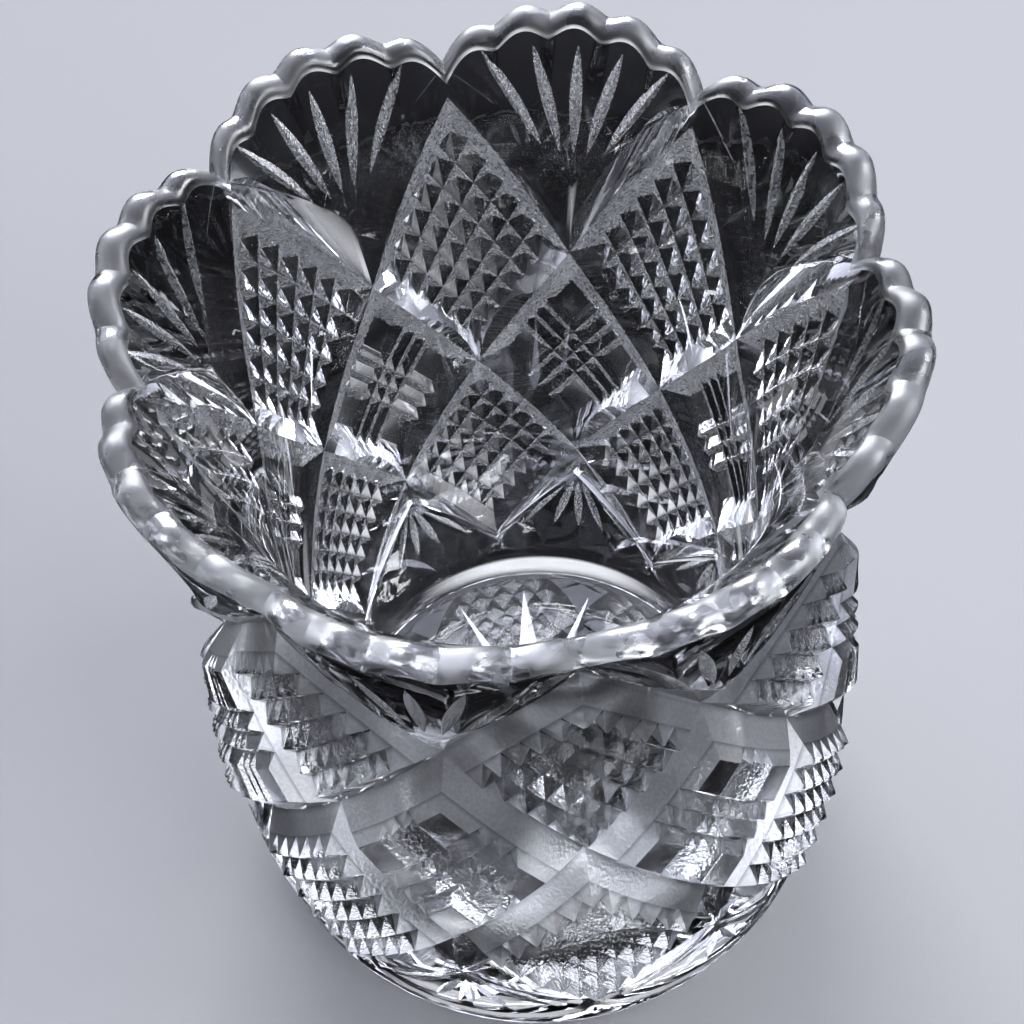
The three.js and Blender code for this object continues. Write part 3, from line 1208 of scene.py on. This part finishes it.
@dataclass(frozen=True)
class LobeRing:
    """Geometry Nodes tree that repeats one lobe round the axis and welds the copies."""

    name: str = "lobe_ring"

    def make(self) -> bpy.types.NodeTree:
        """Builds the tree.

        Returns:
            The tree, with inputs for the count, the weld distance and the material.
        """
        tree = bpy.data.node_groups.new(self.name, "GeometryNodeTree")
        for label, kind in (
            ("Lobe", "NodeSocketGeometry"),
            ("Lobes", "NodeSocketInt"),
            ("Weld", "NodeSocketFloat"),
            ("Glass", "NodeSocketMaterial"),
        ):
            tree.interface.new_socket(label, in_out="INPUT", socket_type=kind)
        tree.interface.new_socket(
            "Holder", in_out="OUTPUT", socket_type="NodeSocketGeometry"
        )
        wiring = Wiring(tree)
        start = wiring.add("NodeGroupInput").outputs
        points = wiring.add("GeometryNodePoints", {"Count": start["Lobes"]})
        index = wiring.add("GeometryNodeInputIndex")
        share = wiring.math("DIVIDE", index.outputs[0], start["Lobes"])
        angle = wiring.math("MULTIPLY", share, 2 * math.pi)
        euler = wiring.add("ShaderNodeCombineXYZ", {"Z": angle})
        turn = wiring.add("FunctionNodeEulerToRotation", {0: euler.outputs[0]})
        feeds = {
            "Points": points.outputs[0],
            "Instance": start["Lobe"],
            "Rotation": turn.outputs[0],
        }
        copies = wiring.add("GeometryNodeInstanceOnPoints", feeds)
        real = wiring.add("GeometryNodeRealizeInstances", {0: copies.outputs[0]})
        feeds = {"Geometry": real.outputs[0], "Distance": start["Weld"]}
        weld = wiring.add("GeometryNodeMergeByDistance", feeds)
        feeds = {"Geometry": weld.outputs[0], "Material": start["Glass"]}
        paint = wiring.add("GeometryNodeSetMaterial", feeds)
        wiring.add("NodeGroupOutput", {0: paint.outputs[0]})
        return tree

    def apply(self, lobe: bpy.types.Object, name: str, **values: object) -> bpy.types.Object:
        """Repeats a lobe and makes the result a plain mesh.

        Args:
            lobe: Object that holds one lobe, which is removed.
            name: Name of the finished piece.
            values: The tree's inputs, by name.

        Returns:
            The finished piece.
        """
        tree = self.make()
        modifier = lobe.modifiers.new(self.name, "NODES")
        modifier.node_group = tree
        for item in tree.interface.items_tree:
            if item.in_out == "INPUT" and item.name in values:
                modifier[item.identifier] = values[item.name]
        bpy.context.view_layer.update()
        graph = bpy.context.evaluated_depsgraph_get()
        mesh = bpy.data.meshes.new_from_object(lobe.evaluated_get(graph))
        mesh.name = name
        made = bpy.data.objects.new(name, mesh)
        bpy.context.scene.collection.objects.link(made)
        bpy.data.objects.remove(lobe)
        return made


@dataclass
class Holder:
    """The whole holder, from its sizes to the finished piece of glass."""

    wall: Wall = field(default_factory=Wall)
    weld: float = 2e-6
    crease_angle: float = 25.0

    def __post_init__(self) -> None:
        """Sets out the lattice and what stands on it."""
        self.lattice = Lattice(self.wall)
        self.diamond = Diamond(self.lattice)
        self.rim = Rim(self.lattice)
        self.well = Well(self.lattice)
        self.foot = Foot(self.lattice)
        self.rim_fan = self.make_rim_fan()
        self.foot_fan = self.make_foot_fan()

    def make_rim_fan(self) -> Fan:
        """Sets out the fan under the rim.

        Returns:
            The fan.
        """
        crossing = self.lattice.height_at(1)
        relief, notch_relief = self.wall.rim_relief, 0.4

        def bulge(share: float) -> float:
            """Returns the relief of the rim at a share of the way to the notch."""
            full = max(0.0, math.cos(math.pi / 2 * min(1.0, share))) ** Fan.fullness
            return mix(notch_relief, relief, full)

        return Fan(
            lattice=self.lattice,
            crossing_level=1,
            relief=relief,
            notch_relief=notch_relief,
            mitre=4.8,
            notch_height=self.rim.height(1) - crossing,
            focus=3.0,
            lean=28,
            ray_inset=2.4,
            ray_margin=2.6,
            opens_down=False,
            edge_height=lambda aside: self.rim.height(aside) - crossing,
            edge_relief=bulge,
        )

    def make_foot_fan(self) -> Fan:
        """Sets out the fan over the foot.

        Returns:
            The fan.
        """
        crossing = self.lattice.height_at(self.lattice.rows)
        edge = crossing - self.foot.edge_height
        notch_mitre = 1.0
        return Fan(
            lattice=self.lattice,
            crossing_level=self.lattice.rows,
            relief=1.3,
            notch_relief=0.6,
            mitre=4.4,
            notch_height=crossing - self.lattice.low_level + notch_mitre,
            focus=4.6,
            lean=37,
            ray_inset=1.6,
            ray_margin=4.8,
            opens_down=True,
            edge_height=lambda aside: edge,
            edge_relief=lambda share: self.foot.edge_relief,
        )

    def build_lobe(self) -> LobeMesh:
        """Builds the facets of one lobe.

        Returns:
            The mesh of the lobe whose middle is column 1.
        """
        mesh = LobeMesh()
        middle = 1
        for row in range(1, self.lattice.rows + 1):
            hatched = row % 2 == 0
            top = Top.HATCHED if hatched else Top.DOTTED
            self.diamond.build(mesh, middle if hatched else middle - 1, row, top)
        edge = self.rim.edge(middle, self.rim_fan.bulge)
        self.rim_fan.build(mesh, middle, edge)
        foot_edge = self.foot.rings(middle)[0]
        self.foot_fan.build(mesh, middle, foot_edge)
        rim_rings = self.rim.rings(middle, edge)
        for outer, inner in zip(rim_rings, rim_rings[1:]):
            mesh.band(outer, inner, Surface.RIM)
        well_rings = [rim_rings[-1], *self.well.rings(middle)]
        for upper, lower in zip(well_rings, well_rings[1:]):
            mesh.band(upper, lower, Surface.POLISHED)
        self.foot.build(mesh, middle)
        return mesh

    def build(self, glass: PressedGlass) -> bpy.types.Object:
        """Builds the holder.

        Args:
            glass: Finish of the holder.

        Returns:
            The finished piece.
        """
        lobe = self.build_lobe().make("lobe")
        piece = LobeRing().apply(
            lobe,
            "pressed_glass_holder",
            Lobes=self.lattice.lobes,
            Weld=self.weld,
            Glass=glass.make(),
        )
        mesh = piece.data
        mesh.shade_smooth()
        mesh.set_sharp_from_angle(angle=math.radians(self.crease_angle))
        return piece


@dataclass(frozen=True)
class SoftBox:
    """A soft square light that faces a point."""

    name: str
    place: Point
    aim: Point
    size: float
    watts: float
    colour: tuple[float, float, float] = (0.94, 0.96, 1.0)

    def make(self) -> bpy.types.Object:
        """Makes the light and aims it.

        Returns:
            The light, which the camera doesn't see.
        """
        light = bpy.data.lights.new(self.name, "AREA")
        light.size = self.size
        light.energy = self.watts
        light.color = self.colour
        made = bpy.data.objects.new(self.name, light)
        made.visible_camera = False
        place = Vector(self.place)
        made.location = place
        made.rotation_euler = (Vector(self.aim) - place).to_track_quat("-Z", "Y").to_euler()
        bpy.context.scene.collection.objects.link(made)
        return made


@dataclass(frozen=True)
class PhotoCamera:
    """The camera of the photograph: above the holder, turned and rolled a little.

    Sizes are in millimetres, angles in degrees and pixels are those of the photograph.
    """

    target: Point = (-1.35, 0.0, 43.32)
    distance: float = 120.25
    elevation: float = 56.841
    turn: float = -5.364
    roll: float = 5.717
    focal_pixels: float = 1800.455
    centre_pixels: tuple[float, float] = (496.491, 488.828)
    frame_pixels: float = 1024.0
    sensor: float = 36.0
    clip_start: float = 5.0

    def make(self) -> bpy.types.Object:
        """Makes the camera and sets it as the scene's own.

        Returns:
            The camera.
        """
        data = bpy.data.cameras.new("photo_camera")
        data.sensor_width = self.sensor
        data.sensor_fit = "HORIZONTAL"
        data.lens = self.focal_pixels / self.frame_pixels * self.sensor
        data.shift_x = 0.5 - self.centre_pixels[0] / self.frame_pixels
        data.shift_y = self.centre_pixels[1] / self.frame_pixels - 0.5
        data.clip_start = self.clip_start * MM
        made = bpy.data.objects.new("photo_camera", data)
        tilt = math.radians(90 - self.elevation)
        back = Vector((0, -math.sin(tilt), math.cos(tilt))) * self.distance
        eye = (Vector(self.target) + back) * MM
        made.matrix_world = (
            Matrix.Rotation(math.radians(self.turn), 4, "Z")
            @ Matrix.Translation(eye)
            @ Matrix.Rotation(tilt, 4, "X")
            @ Matrix.Rotation(-math.radians(self.roll), 4, "Z")
        )
        bpy.context.scene.collection.objects.link(made)
        bpy.context.scene.camera = made
        return made


@dataclass(frozen=True)
class Dome:
    """The room's soft light: bright overhead, dark below, and pale where the camera sees it."""

    overhead: Colour = (4.0, 4.1, 5.0, 1.0)
    below: Colour = (0.006, 0.006, 0.007, 1.0)
    backdrop: Colour = (0.7, 0.7, 0.71, 1.0)
    horizon: float = 0.0
    full_height: float = 0.35
    front: float = -0.3
    back: float = 0.8
    front_share: float = 0.08
    sheen: Colour = (0.9, 0.91, 0.96, 1.0)
    sheen_from: Point = (0.16, 0.88, -0.44)
    sheen_core: float = 7.0
    sheen_reach: float = 22.0

    def make(self) -> bpy.types.World:
        """Makes the world.

        Returns:
            The world, set as the scene's own.
        """
        world = bpy.data.worlds.new("studio_dome")
        world.use_nodes = True
        wiring = Wiring(world.node_tree)
        place = wiring.add("ShaderNodeTexCoord").outputs["Generated"]
        axes = wiring.add("ShaderNodeSeparateXYZ", {0: place}).outputs
        rise = wiring.ranged(axes["Z"], (self.horizon, self.full_height), how="SMOOTHSTEP")
        lean = wiring.ranged(axes["Y"], (self.front, self.back), (self.front_share, 1.0))
        sky = wiring.blend(wiring.math("MULTIPLY", rise, lean), self.below, self.overhead)
        feeds = {0: place, 1: Vector(self.sheen_from).normalized()}
        towards = wiring.add("ShaderNodeVectorMath", feeds, operation="DOT_PRODUCT")
        near = [math.cos(math.radians(turn)) for turn in (self.sheen_reach, self.sheen_core)]
        patch = wiring.ranged(towards.outputs["Value"], tuple(near), how="SMOOTHSTEP")
        light = wiring.blend(patch, sky, self.sheen, "ADD")
        seen = wiring.add("ShaderNodeLightPath").outputs["Is Camera Ray"]
        colour = wiring.blend(seen, light, self.backdrop)
        wiring.feed(world.node_tree.nodes["Background"], {"Color": colour})
        bpy.context.scene.world = world
        return world


@dataclass(frozen=True)
class Studio:
    """The pale floor, the soft boxes and the room's own light."""

    floor_radius: float = 2.0
    floor_sides: int = 128
    floor_roughness: float = 1.0
    floor_specular: float = 0.05
    floor_colour: Colour = (0.16, 0.16, 0.162, 1.0)
    dome: Dome = Dome()
    boxes: tuple[SoftBox, ...] = (
        SoftBox("back_box", (0.0, 4.6, 1.84), (0, 0, 0.04), 3.2, 830.0),
        SoftBox("right_box", (0.48, -0.05, 0.5), (0, 0, 0.04), 0.3, 5.0),
        SoftBox("front_box", (0.35, -0.38, 0.5), (0, 0, 0.04), 0.3, 3.5),
    )

    def make_floor(self, height: float) -> bpy.types.Object:
        """Makes the floor that the holder stands on.

        Args:
            height: Height of the floor.

        Returns:
            The floor, hidden from what shows through the glass.
        """
        mesh = bpy.data.meshes.new("floor")
        build = bmesh.new()
        bmesh.ops.create_circle(
            build, cap_ends=True, segments=self.floor_sides, radius=self.floor_radius
        )
        build.to_mesh(mesh)
        build.free()
        mesh.transform(Matrix.Translation((0, 0, height)))
        material = bpy.data.materials.new("pale_floor")
        material.use_nodes = True
        shader = material.node_tree.nodes["Principled BSDF"]
        shader.inputs["Base Color"].default_value = self.floor_colour
        shader.inputs["Roughness"].default_value = self.floor_roughness
        shader.inputs["Specular IOR Level"].default_value = self.floor_specular
        mesh.materials.append(material)
        floor = bpy.data.objects.new("floor", mesh)
        floor.visible_transmission = False
        floor.visible_glossy = False
        bpy.context.scene.collection.objects.link(floor)
        return floor

    def make(self, floor_height: float) -> None:
        """Makes the floor, the lights and the world.

        Args:
            floor_height: Height of the floor.
        """
        self.make_floor(floor_height)
        for box in self.boxes:
            box.make()
        self.dome.make()
        bpy.context.scene.view_settings.view_transform = "Standard"


def main() -> None:
    """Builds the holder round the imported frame, its studio and its camera."""
    logging.basicConfig(level=logging.INFO, format="%(name)s: %(message)s")
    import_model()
    low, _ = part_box(GLASS_NODE)
    PhotoCamera().make()
    Studio().make(low.z)
    piece = Holder().build(PressedGlass())
    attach(piece, ROOT_BODY)
    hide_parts(GLASS_NODE)
    log.info("%s: %d faces", piece.name, len(piece.data.polygons))


if __name__ == "__main__":
    main()
